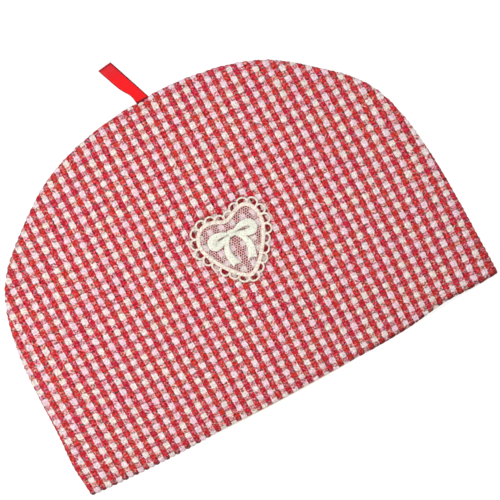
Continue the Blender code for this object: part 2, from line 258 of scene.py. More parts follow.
# %% [markdown]
# ## The dome's shape
# The solid model's panels follow one formula: a rounded arch for the outline, and a soft bulge
# that grows from the seam inwards. The same formula is repeated here, because a dressed cloth
# must lie exactly on the solid that it stands for. The outline is a superellipse whose shoulders
# are pressed in a little and whose top leans to one side, as hand-cut cloth does.

# %% Sizes of the dome
HALF_WIDTH = 0.1750
HEIGHT = 0.2455
SQUARENESS = 4.7
SHOULDER_HEIGHT = 0.211
SHOULDER_SPREAD = 0.025
SHOULDER_DROP = 0.063
APEX_SHIFT = 0.007
SHIFT_POWER = 5.0
HALF_DEPTH = 0.043
TOP_LEAN = 0.20
CROWN_POWER = 0.85
CLOTH = 0.0030
GAP = 0.0003
SHOULDER_SHARE = 0.315
SWELL_FADE = 0.35
FRONT_SWELLS = (
    (-0.105, 0.070, 0.048, 0.0018),
    (-0.045, 0.165, 0.050, -0.0015),
    (0.085, 0.155, 0.046, 0.0016),
    (0.110, 0.045, 0.040, -0.0014),
    (0.020, 0.030, 0.042, 0.0012),
)
BACK_SWELLS = (
    (0.100, 0.080, 0.050, 0.0017),
    (0.035, 0.175, 0.048, -0.0015),
    (-0.090, 0.140, 0.050, 0.0014),
    (-0.060, 0.035, 0.040, -0.0013),
)
print("dome", 2 * HALF_WIDTH, "m wide,", HEIGHT, "m high and about", 2 * HALF_DEPTH, "m deep")


# %% The dome's formula
def half_width(z):
    """Half of the dome's width at a height."""
    drop = SHOULDER_DROP * np.exp(-((z - SHOULDER_HEIGHT) / SHOULDER_SPREAD) ** 2)
    rise = np.clip(z / HEIGHT, 0.0, 1.0)
    return HALF_WIDTH * (1 - drop) * np.sqrt(np.clip(1 - rise ** SQUARENESS, 0.0, 1.0))


def centre_line(z):
    """Where the middle of the dome lies at a height, as its top leans a little."""
    return APEX_SHIFT * np.clip(z / HEIGHT, 0.0, None) ** SHIFT_POWER


def inside_share(x, z):
    """0 on the arch and 1 at the middle of the hem."""
    width = np.maximum(half_width(z), 1e-6)
    rise = np.clip(z / HEIGHT, 0.0, 1.0)
    across = np.clip(np.abs(x - centre_line(z)) / width, 0.0, 1.0)
    return (1 - across ** 2) * (1 - rise ** SQUARENESS)


def depth_at(x, z, swells):
    """How far a panel's outer face stands from the seam's plane."""
    inside = inside_share(x, z)
    rise = np.clip(z / HEIGHT, 0.0, 1.0)
    depth = HALF_DEPTH * (1 - TOP_LEAN * rise) * inside ** CROWN_POWER
    fade = np.minimum(1.0, inside / SWELL_FADE) ** 2
    for across, up, spread, out in swells:
        depth = depth + fade * out * np.exp(-(np.hypot(x - across, z - up) / spread) ** 2)
    return depth


turns = np.linspace(0.0, math.pi, 3001)
arch_z = HEIGHT * np.clip(np.sin(turns), 0.0, 1.0) ** (2 / SQUARENESS)
arch_z[[0, -1]] = 0.0
arch_x = centre_line(arch_z) - np.copysign(half_width(arch_z), np.cos(turns))
steps = np.hypot(np.diff(arch_x), np.diff(arch_z))
arch_length = np.concatenate([[0.0], np.cumsum(steps)])
print("length of the arch seam:", round(float(arch_length[-1]), 4), "m")


def arch_at(share):
    """The seam's places at shares of its length."""
    target = np.asarray(share) * arch_length[-1]
    return np.stack([np.interp(target, arch_length, arch_x), np.interp(target, arch_length, arch_z)], -1)


def dome_grid(u, v):
    """Places inside the outline for shares across u and shares up v, as rows of points."""
    left = arch_at(SHOULDER_SHARE * v)[:, None]
    right = arch_at(1 - SHOULDER_SHARE * v)[:, None]
    top = arch_at(SHOULDER_SHARE + (1 - 2 * SHOULDER_SHARE) * u)[None]
    bottom = np.stack([HALF_WIDTH * (2 * u - 1), 0 * u], -1)[None]
    u = u[None, :, None]
    v = v[:, None, None]
    low = (1 - u) * arch_at(0.0) + u * arch_at(1.0)
    high = (1 - u) * arch_at(SHOULDER_SHARE) + u * arch_at(1 - SHOULDER_SHARE)
    return (1 - u) * left + u * right + (1 - v) * bottom + v * top - (1 - v) * low - v * high


# %% [markdown]
# ## Meshes from rows of points
# Cloth, cords and ribbons are all strips of points that follow a rule, so one helper turns rows
# of points into a mesh. A strip may close on itself, as a cord does round its section, and its
# open ends may be capped. This is quicker and more even than modelling faces one by one.

# %% Helper for meshes
def grid_faces(rows, columns, round_rows=False, round_columns=False):
    """The corners of the faces between rows and columns of points."""
    index = np.arange(rows * columns).reshape(rows, columns)
    if round_rows:
        index = np.vstack([index, index[:1]])
    if round_columns:
        index = np.hstack([index, index[:, :1]])
    faces = np.stack([index[:-1, :-1], index[:-1, 1:], index[1:, 1:], index[1:, :-1]], -1)
    return faces.reshape(-1, 4)


def make_piece(name, strips, material, map_name=None):
    """One object from strips: points, optional map, and whether rows or columns close or are capped."""
    places, faces, caps, maps = [], [], [], []
    total = 0
    for strip in strips:
        points = strip["points"]
        rows, columns = points.shape[:2]
        closed_rows = strip.get("round_rows", False)
        closed_columns = strip.get("round_columns", False)
        faces.append(grid_faces(rows, columns, closed_rows, closed_columns) + total)
        if strip.get("caps", False):
            caps.append(list(range(total, total + columns))[::-1])
            caps.append(list(range(total + (rows - 1) * columns, total + rows * columns)))
        places.append(points.reshape(-1, 3))
        if map_name:
            maps.append(strip["map"].reshape(-1, 2))
        total += rows * columns
    mesh = bpy.data.meshes.new(name)
    mesh.from_pydata(np.concatenate(places).tolist(), [], np.concatenate(faces).tolist() + caps)
    if map_name:
        layer = mesh.uv_layers.new(name=map_name)
        corner = np.empty(len(mesh.loops), dtype=np.int32)
        mesh.loops.foreach_get("vertex_index", corner)
        layer.data.foreach_set("uv", np.concatenate(maps)[corner].astype(np.float32).ravel())
    mesh.shade_smooth()
    mesh.materials.append(material)
    thing = add_object(name, mesh)
    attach(thing, "root")
    print(name, "has", sum(len(p.vertices) - 2 for p in mesh.polygons), "triangles")
    return thing


# %% [markdown]
# ## Counting the checks
# The cell numbers are kept as the cloth's own map, so the puffed squares of the mesh and the
# colours of the material share them. The bands are not drawn with a ruler: they spread a little
# towards the top, slope down to the right, bow with the bulge, and are closest at the hem. They
# are counted as they appear from the front, a little above, because the eye compares them with
# straight lines there. The last columns at the sides widen into the seam.

# %% Cells of the checked cloth
CELL = 0.00880
RED_COLUMN = 0.0032
WIDER_FROM = 0.146
WIDER_BY = 0.05
WIDE_END = 0.1712
WIDE_END_BY = 0.8
FAN_SHIFT = 0.0006
FAN_LEFT = 0.006
FAN_RIGHT = 0.012
FAN_HEIGHT = 0.160
PICTURE_MIDDLE = (0.0192, 0.1046)
ROW_HEIGHTS = (-0.0158, -0.0002, 0.0072, 0.0150, 0.0910, 0.2218, 0.2470)
ROW_NUMBERS = (-3.0, -1.0, 0.0, 1.0, 10.0, 25.0, 28.0)
SLOPE_HEIGHTS = (0.0, 0.090)
ROW_SLOPES = (-0.031, -0.045)
ROW_BOWS = (0.0015, 0.0006)
BOW_REACH = 0.150
MIDDLE_HEIGHT = 0.110
COLUMN_BULGE = 0.104
BULGE_MIDDLE = 0.7
BULGE_SIDES = 0.8
BULGE_ENDS = 1.5
ROW_START = 0.05
ROW_SAG = 0.15
SAG_PLACE = -0.088
SAG_SPREAD = 0.038
ROW_TWIST = 0.06
RIGHT_TWIST = 7.0
RIGHT_FROM = 0.6
LOW_ROWS = 0.20
LOW_ROWS_REACH = 0.014
WANDER = 0.010
WAVES = ((31, 17, 0.6, 1.0), (-47, 39, 2.1, 0.7), (83, 61, 4.0, 0.5), (-120, 97, 1.1, 0.4))
print("one cell of the check is", 1000 * CELL, "mm")


def seen_level(points):
    """Where points appear across and up on the seam's plane from the front, a little above."""
    away = points - camera_place
    depth = -(away @ to_camera)
    across = PICTURE_MIDDLE[0] + away @ level_right / depth * distance
    up = PICTURE_MIDDLE[1] + away @ level_up / depth * distance
    return across, up


def wander(a, b, size):
    """A slow wandering of the bands, from a few long waves."""
    return size * sum(high * np.sin(along * a + over * b + start) for along, over, start, high in WAVES)


def front_cells(points):
    """The cell numbers of the front's cloth: whole numbers lie on the middles of red bands."""
    across, up = seen_level(points)
    fan = np.where(across > 0, FAN_RIGHT, FAN_LEFT) * across + FAN_SHIFT
    level = across - fan * up / FAN_HEIGHT
    level = level - WIDER_BY * np.sign(level) * np.maximum(np.abs(level) - WIDER_FROM, 0.0)
    level = level - WIDE_END_BY * np.maximum(level - WIDE_END, 0.0)
    share, rise = across / BOW_REACH, (up - MIDDLE_HEIGHT) / MIDDLE_HEIGHT
    bulge = COLUMN_BULGE * share * (BULGE_MIDDLE + BULGE_SIDES * share ** 2)
    columns = (level - RED_COLUMN) / CELL + bulge * (BULGE_ENDS * rise ** 2 - 1)
    slope = np.interp(up, SLOPE_HEIGHTS, ROW_SLOPES)
    bow = np.interp(up, SLOPE_HEIGHTS, ROW_BOWS)
    straight = up - slope * across - bow * (across / BOW_REACH) ** 2
    sag = ROW_SAG * np.exp(-((across - SAG_PLACE) / SAG_SPREAD) ** 2)
    twist = ROW_TWIST * rise * (1 + share + RIGHT_TWIST * np.maximum(share - RIGHT_FROM, 0.0))
    low = np.clip(1 - up / LOW_ROWS_REACH, 0.0, 1.5)
    twist = twist - LOW_ROWS * np.maximum(-share, 0.0) * low
    rows = np.interp(straight, ROW_HEIGHTS, ROW_NUMBERS) + ROW_START + sag - twist
    own = np.stack([wander(across, up, WANDER), wander(up, across, WANDER)], -1)
    return np.stack([columns, rows], -1) + own


BACK_PHASE = (0.31, 0.18)
BACK_SLOPE = 0.018
BACK_ROWS = 0.985
BACK_WANDER = 0.022


def back_cells(points):
    """The cell numbers of the back's cloth, cut a little differently from the same length."""
    x, z = points[..., 0], points[..., 2]
    columns = -x / CELL + BACK_PHASE[0] + wander(x, z, BACK_WANDER)
    rows = (z + BACK_SLOPE * x) / (BACK_ROWS * CELL) + BACK_PHASE[1] + wander(z, x, BACK_WANDER)
    return np.stack([columns, rows], -1)


# %% [markdown]
# ## The lace heart's outline
# The heart is a bought lace motif: a thick corded outline with small open loops round it, a net
# inside, and a bow worked in raised satin stitch. It is drawn flat first, as lace is designed,
# and then laid on the front, each point going straight back onto the bulge. The outline is a
# closed run of Bezier curves, a little uneven, as soft lace lies. It comes before the cloth,
# because the cloth under the lace is pressed flat and lies in its shade.
# Each knot of the curve has its place, the handle before it and the handle after it.

# %% Outline of the heart
HEART_ACROSS = 0.0120
HEART_UP = 0.1190
HEART_LEAN = math.radians(2.8)
HEART_KNOTS = (
    ((-0.0005, 0.0207), (-0.0040, 0.0228), (0.0030, 0.0210)),
    ((0.0165, 0.0271), (0.0105, 0.0274), (0.0228, 0.0270)),
    ((0.0269, 0.0110), (0.0274, 0.0200), (0.0276, 0.0005)),
    ((0.0006, -0.0260), (0.0085, -0.0262), (-0.0085, -0.0260)),
    ((-0.0271, 0.0110), (-0.0275, -0.0005), (-0.0272, 0.0190)),
    ((-0.0140, 0.0249), (-0.0205, 0.0250), (-0.0080, 0.0249)),
)
LACE_GAP = 0.0004
NET_THICK = 0.0008
BAND_WIDTH = 0.0030
BAND_THICK = 0.0013
HEART_NEAR = 0.042


def lay_on_front(flat, above):
    """Flat lace coordinates and heights above the cloth, as places on the front."""
    across, up = flat[..., 0], flat[..., 1]
    x = HEART_ACROSS + across * math.cos(HEART_LEAN) + up * math.sin(HEART_LEAN)
    z = HEART_UP - across * math.sin(HEART_LEAN) + up * math.cos(HEART_LEAN)
    return np.stack([x, -depth_at(x, z, FRONT_SWELLS) - above, z], -1)


def lengths_along(line):
    """How far each point of a line lies from its start, measured along it."""
    return np.concatenate([[0.0], np.cumsum(np.linalg.norm(np.diff(line, axis=0), axis=1))])


def even_stops(points, count, closed=True):
    """Stops at equal lengths along a line."""
    line = np.vstack([points, points[:1]]) if closed else points
    passed = lengths_along(line)
    target = passed[-1] * np.arange(count) / (count if closed else count - 1)
    return np.stack([np.interp(target, passed, line[:, k]) for k in range(2)], -1)


def outward(points, closed=True):
    """Unit directions to the left of a line, which is outwards on a clockwise one."""
    if closed:
        along = np.roll(points, -1, axis=0) - np.roll(points, 1, axis=0)
    else:
        along = np.gradient(points, axis=0)
    along /= np.linalg.norm(along, axis=1, keepdims=True)
    return np.stack([-along[:, 1], along[:, 0]], -1)


def heart_line(count=960, smoothing=16):
    """The outer edge of the corded band, clockwise from the notch, with its corners eased."""
    t = np.linspace(0.0, 1.0, 120, endpoint=False)[:, None]
    weights = ((1 - t) ** 3, 3 * t * (1 - t) ** 2, 3 * t * t * (1 - t), t ** 3)
    runs = []
    for knot, following in zip(HEART_KNOTS, HEART_KNOTS[1:] + HEART_KNOTS[:1]):
        ends = (knot[0], knot[2], following[1], following[0])
        runs.append(sum(weight * np.array(end) for weight, end in zip(weights, ends)))
    line = even_stops(np.vstack(runs), count)
    shifts = range(-smoothing, smoothing + 1)
    return sum(np.roll(line, shift, axis=0) for shift in shifts) / len(shifts)


heart = heart_line()
heart_span = float(np.linalg.norm(np.roll(heart, -1, axis=0) - heart, axis=1).sum())
print("length of the heart's outline:", round(heart_span, 4), "m")


def beyond_heart(x, z):
    """How far places on the front lie outside the heart's outline, or inside it if negative."""
    turned = np.stack([x - HEART_ACROSS, z - HEART_UP], -1)
    across = turned[..., 0] * math.cos(HEART_LEAN) - turned[..., 1] * math.sin(HEART_LEAN)
    up = turned[..., 0] * math.sin(HEART_LEAN) + turned[..., 1] * math.cos(HEART_LEAN)
    beyond = np.full(x.shape, 1.0)
    close = (np.abs(across) < HEART_NEAR) & (np.abs(up) < HEART_NEAR)
    place = np.stack([across[close], up[close]], -1)
    fewer = heart[::4]
    away = place[:, None] - fewer[None]
    nearest = np.linalg.norm(away, axis=-1).argmin(axis=1)
    rows = np.arange(len(place))
    beyond[close] = (away[rows, nearest] * outward(heart)[::4][nearest]).sum(axis=-1)
    return beyond


# %% [markdown]
# ## The puffed squares
# The cloth is quilted through thin wadding, so each square of the check stands a little proud
# and the lines between squares sink. A height that rises and falls twice a cell each way gives
# that waffle. Every square gets its own small share more or less, from a fixed rule on its
# number, because hand-soft cloth is never even.

# %% Relief of the squares
SQUARE_PUFF = 0.00080
PUFF_LEVEL = 0.00035
PUFF_POWER = 0.6


def square_chance(columns, rows, seed):
    """A share from 0 to 1 that is fixed for each square of the check."""
    mixed = np.sin(np.round(2 * columns) * 12.9898 + np.round(2 * rows) * 78.233 + seed) * 43758.5453
    return mixed - np.floor(mixed)


def square_puff(cells):
    """How far the quilted squares stand out of the cloth's middle face."""
    columns, rows = cells[..., 0], cells[..., 1]
    across = 0.5 + 0.5 * np.cos(4 * math.pi * columns)
    along = 0.5 + 0.5 * np.cos(4 * math.pi * rows)
    own = 0.75 + 0.5 * square_chance(columns, rows, 3.0)
    return SQUARE_PUFF * own * (across * along) ** PUFF_POWER - PUFF_LEVEL


print("the squares stand out by up to", 1000 * (1.25 * SQUARE_PUFF - PUFF_LEVEL), "mm")

# %% [markdown]
# ## The hem's line and the seam's line
# A sewn edge is never quite straight. The hem is drawn up along its middle, where the lining
# peeps out, and lifts in two places in front. The left side is a little fuller above its corner.
# The rows of points lie closer at the seam, where the cloth rolls in.

# %% Lines of the edges
HEM_LIFT = 0.0012
PEEP_MIDDLE = -0.008
PEEP_REACH = 0.062
HEM_WAVES = ((-0.066, 0.030, 0.0008), (0.129, 0.024, 0.0026))
SIDE_FULLER = 0.0018
FULLER_FROM = 0.9
FULLER_BAND = 0.1
FULLER_HEIGHT = 0.026
FULLER_SPREAD = 0.018
CLOSE_STEPS = (0.18, 0.5)


def hem_peep(x):
    """1 along the middle of the hem, where the lining shows, and 0 towards its ends."""
    return np.exp(-((x - PEEP_MIDDLE) / PEEP_REACH) ** 4)


def hem_lift(x, side):
    """The cloth's hem is drawn up a little along its middle, and waves a little in front."""
    lift = HEM_LIFT * hem_peep(x)
    for across, spread, rise in HEM_WAVES if side < 0 else ():
        lift = lift + rise * np.exp(-((x - across) / spread) ** 2)
    return lift


def fuller_side(x, z):
    """How far the left side's seam is pushed out above its corner."""
    outwards = -x / np.maximum(half_width(z), 1e-6)
    near = np.clip((outwards - FULLER_FROM) / FULLER_BAND, 0.0, 1.0)
    return SIDE_FULLER * near * np.exp(-((z - FULLER_HEIGHT) / FULLER_SPREAD) ** 2)


def edge_steps(count):
    """Even shares from 0 to 1 with two closer steps at each end, for the rolled seam."""
    even = np.arange(count + 1) / count
    close = np.array(CLOSE_STEPS) / count
    return np.concatenate([even[:1], close, even[1:-1], 1 - close[::-1], even[-1:]])


def surface_normals(points):
    """Unit directions square to a grid of points."""
    normal = np.cross(np.gradient(points, axis=1), np.gradient(points, axis=0))
    size = np.linalg.norm(normal, axis=-1, keepdims=True)
    return normal / np.maximum(size, 1e-12)


def inwards_from(rim, side):
    """Level unit directions from a panel's rim to the inside of the cosy."""
    along = np.gradient(rim[:, :2], axis=0)
    along /= np.maximum(np.linalg.norm(along, axis=1, keepdims=True), 1e-9)
    return np.stack([side * along[:, 1], -side * along[:, 0]], -1)


def keep_side(points, side):
    """Hold points on their own panel's side of the seam's plane."""
    points[..., 1] = side * np.maximum(side * points[..., 1], GAP / 2)


print("the hem lifts by", 1000 * hem_lift(np.array([-0.15, -0.066, 0.0, 0.129]), -1).round(5), "mm")

# %% [markdown]
# ## Where the cloth is pinched, pressed and shaded
# Above the hem a row of stitches pinches the cloth into a groove, and the turned hem below it is
# thicker. Along the arch the two panels roll into the seam, whose edge the squares scallop a
# little, and the ribbon's ends pull it down. The lace presses the cloth flat.
# The shade in such places is finer than the light shows, so it is painted: each point of the cloth
# carries painted shade as an attribute that the material reads, more at the seam, along the hem,
# low down and round the lace. Under the net it is less than none, painted light and a shaded maroon
# on the red, standing in for the net's threads, finer in real net than here, and their shadows.

# %% Shade of the cloth
SEAM_SHADE = 0.12
SEAM_DARK = 0.0007
HEM_SHADE = 0.55
HEM_DARK = 0.0012
HEM_ROLL = 0.0015
PEEP_LIGHT = 0.65
LOW_SHADE = 0.07
LOW_REACH = 0.10
LACE_REACH = 0.0055
LACE_SHADE = 0.40
NET_LIGHT = 0.28
NET_FADE = 0.003


def painted_shade_of_cloth(x, z, near, height, beyond):
    """Each point's painted shade, negative for painted light: near is its way from the seam, beyond its
    way from the heart.
    """
    # painted shade along the hem's lowest edge, less where the lining peeps out
    at_hem = HEM_SHADE * (1 - PEEP_LIGHT * hem_peep(x))
    at_hem = at_hem * np.exp(-np.maximum(height - HEM_ROLL, 0.0) / HEM_DARK)
    # painted shade that grows towards the bottom of the panel
    low_down = LOW_SHADE * np.clip(1 - z / LOW_REACH, 0.0, 1.0)
    shade = SEAM_SHADE * np.exp(-near / SEAM_DARK) + at_hem + low_down
    if beyond is not None:
        # painted shadow of the lace round the heart
        round_lace = (beyond - 0.4 * LACE_REACH) / (0.45 * LACE_REACH)
        shade = shade + LACE_SHADE * np.exp(-round_lace ** 4)
        # painted light under the net
        shade = shade - NET_LIGHT * np.clip(-beyond / NET_FADE - 0.5, 0.0, 1.0)
    return shade


# %% Scallops of the edges
SEAM_SCALLOP = 0.0006
SCALLOP_FADE = 0.004
RIBBON_PLACE = 0.0020
SEAM_DIP = 0.0013
DIP_SHIFT = 0.002
DIP_SPREAD = 0.0065
DIP_FADE = 0.003
DIP_FROM = 0.2
HEM_SCALLOP = 0.0012
HEM_SCALLOP_POWER = 1.5
HEM_SCALLOP_LEFT = 0.11
HEM_SCALLOP_FADE = 0.003


def seam_push(x, z, near, height, cells):
    """How the squares scallop the seam's edge and the ribbon dips it, away from the middle."""
    way = np.stack([x - centre_line(z), 0 * x, z - 0.4 * HEIGHT], -1)
    way /= np.linalg.norm(way, axis=-1, keepdims=True)
    off_hem = np.clip(height / SCALLOP_FADE, 0.0, 1.0)
    bulging = (square_puff(cells) / SQUARE_PUFF) * np.exp(-near / SCALLOP_FADE) * off_hem
    dip = np.exp(-((x - RIBBON_PLACE + DIP_SHIFT) / DIP_SPREAD) ** 2)
    dip = dip * np.exp(-near / DIP_FADE) * (z > DIP_FROM)
    return way * (SEAM_SCALLOP * bulging - SEAM_DIP * dip)[..., None]


def hem_notch(x, columns):
    """How far the hem rises between the columns of squares, more so on the left."""
    notch = HEM_SCALLOP * (1 - np.abs(np.cos(math.tau * columns))) ** HEM_SCALLOP_POWER
    return notch * (0.2 + 0.8 * np.clip(-x / HEM_SCALLOP_LEFT, 0.0, 1.0))


# %% Face of one panel
COLUMNS_OF_POINTS = 370
ROWS_OF_POINTS = 228
SEAM_WIDTH = 0.075
SEAM_PUFF = 0.0011
SEAM_START = 0.0008
SEAM_REACH = 0.007
OFF_SEAM = 0.004
HEM_STRETCH = 0.004
STITCH_HEIGHT = 0.0063
PINCH_DEPTH = 0.0006
PINCH_SPREAD = 0.0010
HEM_PUFF = 0.0005
HEM_PUFF_SPREAD = 0.0022
SEAM_HELD = 0.0010
HEM_HELD = 0.0012
HEM_FREE = 0.002
PRESSED = 0.55
PRESS_FADE = 0.002


def folded_depth(x, z, near, height, swells):
    """A panel's depth with its seam roll, its stitched groove and its thicker hem."""
    off_seam = np.clip(near / OFF_SEAM, 0.0, 1.0)
    groove = np.exp(-((height - STITCH_HEIGHT) / PINCH_SPREAD) ** 2)
    hem = np.exp(-((height - 0.5 * STITCH_HEIGHT) / HEM_PUFF_SPREAD) ** 2)
    depth = depth_at(x, z, swells)
    depth = depth + SEAM_PUFF * (1 - np.exp(-near / SEAM_START)) * np.exp(-near / SEAM_REACH)
    depth = depth - off_seam * PINCH_DEPTH * groove
    depth = depth + off_seam * HEM_PUFF * hem
    return np.maximum(depth, GAP / 2)


def panel_face(side, swells, cells_of):
    """Rows of points from hem to arch, with their cells, their painted shade and the hem's notches."""
    u = edge_steps(COLUMNS_OF_POINTS)
    v = np.delete(edge_steps(ROWS_OF_POINTS), (1, 2))
    flat = dome_grid(u, v)
    x, z = flat[..., 0], flat[..., 1]
    z = z + (HEM_ROLL + hem_lift(x, side)) * np.exp(-z / HEM_STRETCH)
    near = inside_share(x, z) * SEAM_WIDTH
    height = z - hem_lift(x, side)
    beyond = beyond_heart(x, z) if side < 0 else None
    depth = folded_depth(x, z, near, height, swells)
    points = np.stack([x - fuller_side(x, z), side * depth, z], -1)
    normal = surface_normals(points)
    normal *= np.sign(normal[..., 1:2] * side + 1e-9)
    cells = cells_of(points)
    free = np.clip((height - HEM_HELD) / HEM_FREE, 0.15, 1.0)
    free = np.clip(near / SEAM_HELD, 0.0, 1.0) * free
    if side < 0:
        free = free * (1 - PRESSED * np.clip((LACE_REACH - beyond) / PRESS_FADE, 0.0, 1.0))
    points = points + normal * (square_puff(cells) * free)[..., None]
    points = points + seam_push(x, z, near, height, cells)
    notch = hem_notch(x, cells[..., 0])
    points[..., 2] += notch * np.exp(-height / HEM_SCALLOP_FADE)
    keep_side(points, side)
    return points, cells, painted_shade_of_cloth(x, z, near, height, beyond), notch[0]


# %% Turned hem and whole cloth
HEM_FOLD = (
    (0.0001, 0.0009), (0.0005, 0.0004), (0.0010, 0.0001), (0.0016, 0.0),
    (0.0022, 0.0001), (0.0028, 0.0008), (0.0029, 0.0030), (0.0029, 0.0085),
)
ALLOWANCE = 0.0030


def turned_hem(rim, side, notch):
    """Rows of points that turn the cloth under, the innermost first, and how far each lies."""
    inwards = inwards_from(rim, side)
    rows, lengths = [], []
    length = 0.0
    last = (0.0, HEM_ROLL)
    for inset, height in HEM_FOLD:
        length += math.hypot(inset - last[0], height - last[1])
        last = (inset, height)
        row = rim.copy()
        row[:, :2] += inset * inwards
        row[:, 0] = np.clip(row[:, 0], -HALF_WIDTH + inset, HALF_WIDTH - inset)
        keep_side(row, side)
        row[:, 2] = height + hem_lift(rim[:, 0], side) + notch
        rows.append(row)
        lengths.append(length)
    return rows[::-1], lengths[::-1]


def seam_allowance(edge, side):
    """The row of points inside the arch seam, where the cloth's raw edge is hidden."""
    towards = np.array([0.0, 0.0, 0.5 * HEIGHT]) - edge
    towards[:, 1] = 0.0
    towards /= np.linalg.norm(towards, axis=1, keepdims=True)
    row = edge + ALLOWANCE * towards
    row[:, 1] = side * GAP / 2
    return row


def cloth_points(side, swells, cells_of):
    """A panel's whole cloth from its turned hem to its seam allowance."""
    points, cells, shade, notch = panel_face(side, swells, cells_of)
    hem, lengths = turned_hem(points[0], side, notch)
    hem_cells = [cells[0] - [0.0, length / CELL] for length in lengths]
    points = np.concatenate([hem, points, seam_allowance(points[-1], side)[None]])
    cells = np.concatenate([hem_cells, cells, cells[-1:] + [0.0, ALLOWANCE / CELL]])
    shade = np.concatenate([np.repeat(shade[:1], len(hem), axis=0), shade, shade[-1:]])
    return points, cells, shade


# %% [markdown]
# ## The checked cotton
# Gingham is a plain weave: red and white yarns are laid up and down in bands and crossed by the
# same bands. Where both yarns are red the square is full red, where both are white it is cream,
# and in the mixed squares the colours alternate yarn by yarn. Here the upright yarns lie on top a
# little more, so the red columns read as stripes. Yarn is dyed unevenly, so each square gets its
# own hue. The grooves between squares and the mixed squares are painted a little darker, with
# specks of painted shade between the yarns.

# %% Colours of the yarns
YARNS = 9.0
RED_UPRIGHT = 0.83
RED_LEVEL = 0.56
GRAIN = 4.3
CLOUDS = 2.7
RED_STOPS = (
    (0.0, screen(198, 25, 58)),
    (0.35, screen(203, 34, 48)),
    (0.7, screen(206, 40, 43)),
    (1.0, screen(207, 49, 39)),
)
WHITE_STOPS = (
    (0.0, screen(242, 208, 220)),
    (0.3, screen(241, 217, 225)),
    (0.6, screen(239, 226, 224)),
    (1.0, screen(239, 227, 215)),
)
# the colour of the painted shade in the specks between the yarns
SPECK_SHADE_RED = screen(150, 60, 62)
# the maroon of the painted shadow that the net's threads cast on red cloth
NET_SHADOW_RED = screen(134, 52, 60)


# %% Noise, waves and chance on the cells
def noise(cells, scale, detail, dimensions='2D'):
    """Cloudy values about 0, finer as the scale grows."""
    sockets = {"Vector": cells, "Scale": scale, "Detail": detail, "Roughness": 0.6}
    return cells.node("TexNoise", {"noise_dimensions": dimensions}, sockets) - 0.5


def wave(place):
    """1 on the middle of a red band, -1 on the middle of a white one."""
    return (place * math.tau + math.pi / 2).sine()


def chance_of(across, along):
    """A random value for each square."""
    corner = across.node("CombineXYZ", None, {0: across.floor(), 1: along.floor()})
    return corner.node("TexWhiteNoise", {"noise_dimensions": '2D'}, {"Vector": corner})


def border(band):
    """1 just inside the border of a band of one colour, and 0 elsewhere."""
    return band.ramp(0.05, 0.30) * (1 - band.ramp(0.40, 0.70))


# %% Material of the checked cotton
def checked_cotton():
    """Red and white yarns, mixed where they cross, with painted shade in specks, grooves and from the
    cloth.
    """
    material, shader, start = new_material("checked_cotton", 0.92, sheen=0.12, specular=0.15)
    cells = start.node("UVMap", {"uv_map": "cloth"})
    columns, rows = cells.part(0), cells.part(1)
    cloudy = noise(cells, CLOUDS, 3.0)
    fleck = noise(cells, GRAIN, 1.5)
    speck = noise(cells, 1.25 * GRAIN, 2.0, '3D')
    chance = chance_of(columns * 2 + 0.5, rows * 2 + 0.5)
    uneven = chance_of(columns * 2 + 0.5, rows + 0.5) - 0.5

    upright = wave(columns + cloudy * 0.13)
    level = wave(rows - cloudy * 0.16 + uneven * 0.10)
    red_upright = (upright + level * 0.08).ramp(-0.29, 0.20)
    red_level = (level + upright * 0.16 + uneven * 0.3).ramp(-0.30, 0.30)
    both = red_upright * red_level
    mixed = red_upright + red_level - 2 * both
    light_line = border(-upright)
    share = RED_UPRIGHT * (red_upright - both) + RED_LEVEL * (red_level - both) + both
    red = share + fleck * (0.65 + 1.1 * mixed) - light_line * 0.12

    groove = 1 - upright.size()
    groove_rows = 1 - level.size()
    corner = (groove * groove_rows) ** 1.5
    # specks of painted shade in the gaps between yarns, most in mixed squares and where grooves cross
    dark = (fleck * -1.0 - speck * 0.5 + corner * 0.10).ramp(0.06, 0.22)
    painted_shade = start.node("Attribute", {"attribute_name": "shade"}, None, 2)
    # under the net the red turns to a shaded maroon, painted shadow of the net's finer threads
    net_shadow = (-painted_shade).ramp(0.0, NET_LIGHT) * red.ramp(0.1, 0.7)
    # painted shade in the grooves and the mixed squares; speck and cloudy add the yarn's uneven tone
    shade = 0.95 - 0.08 * (groove ** 3.0 + groove_rows ** 3.0) - 0.07 * mixed - 0.04 * both
    shade = shade + speck * (1.25 + 1.9 * both + 2.6 * mixed) + cloudy * 0.5
    shade = shade - border(upright) * (0.10 - speck * 0.8) + light_line * 0.05
    shade = shade * (1 - dark * (0.05 + 0.33 * mixed + corner * 0.3))
    # the painted shade from the cloth's attribute, stronger on red, and painted light where it is
    # negative
    shade = shade * (1 - painted_shade * (0.4 + 0.7 * red.ramp(0.0, 0.8)))

    white_yarn = start.node("ValToRGB", {"stops": WHITE_STOPS}, {0: chance})
    red_yarn = start.node("ValToRGB", {"stops": RED_STOPS}, {0: chance})
    colour = red.tint(white_yarn, red_yarn)
    colour = (dark * (0.1 + 0.5 * mixed)).tint(colour, SPECK_SHADE_RED)
    colour = (net_shadow * 0.6).tint(colour, NET_SHADOW_RED)
    connect(shader, "Base Color", colour.darken(shade))
    yarn = (columns * (YARNS * math.pi)).sine().size() * (rows * (YARNS * math.pi)).sine().size()
    fine_relief(shader, yarn * 0.6 + fleck * 0.8, 0.5, 0.0003)
    return material


checked = checked_cotton()
print("the checked cotton has", len(checked.node_tree.nodes), "nodes")

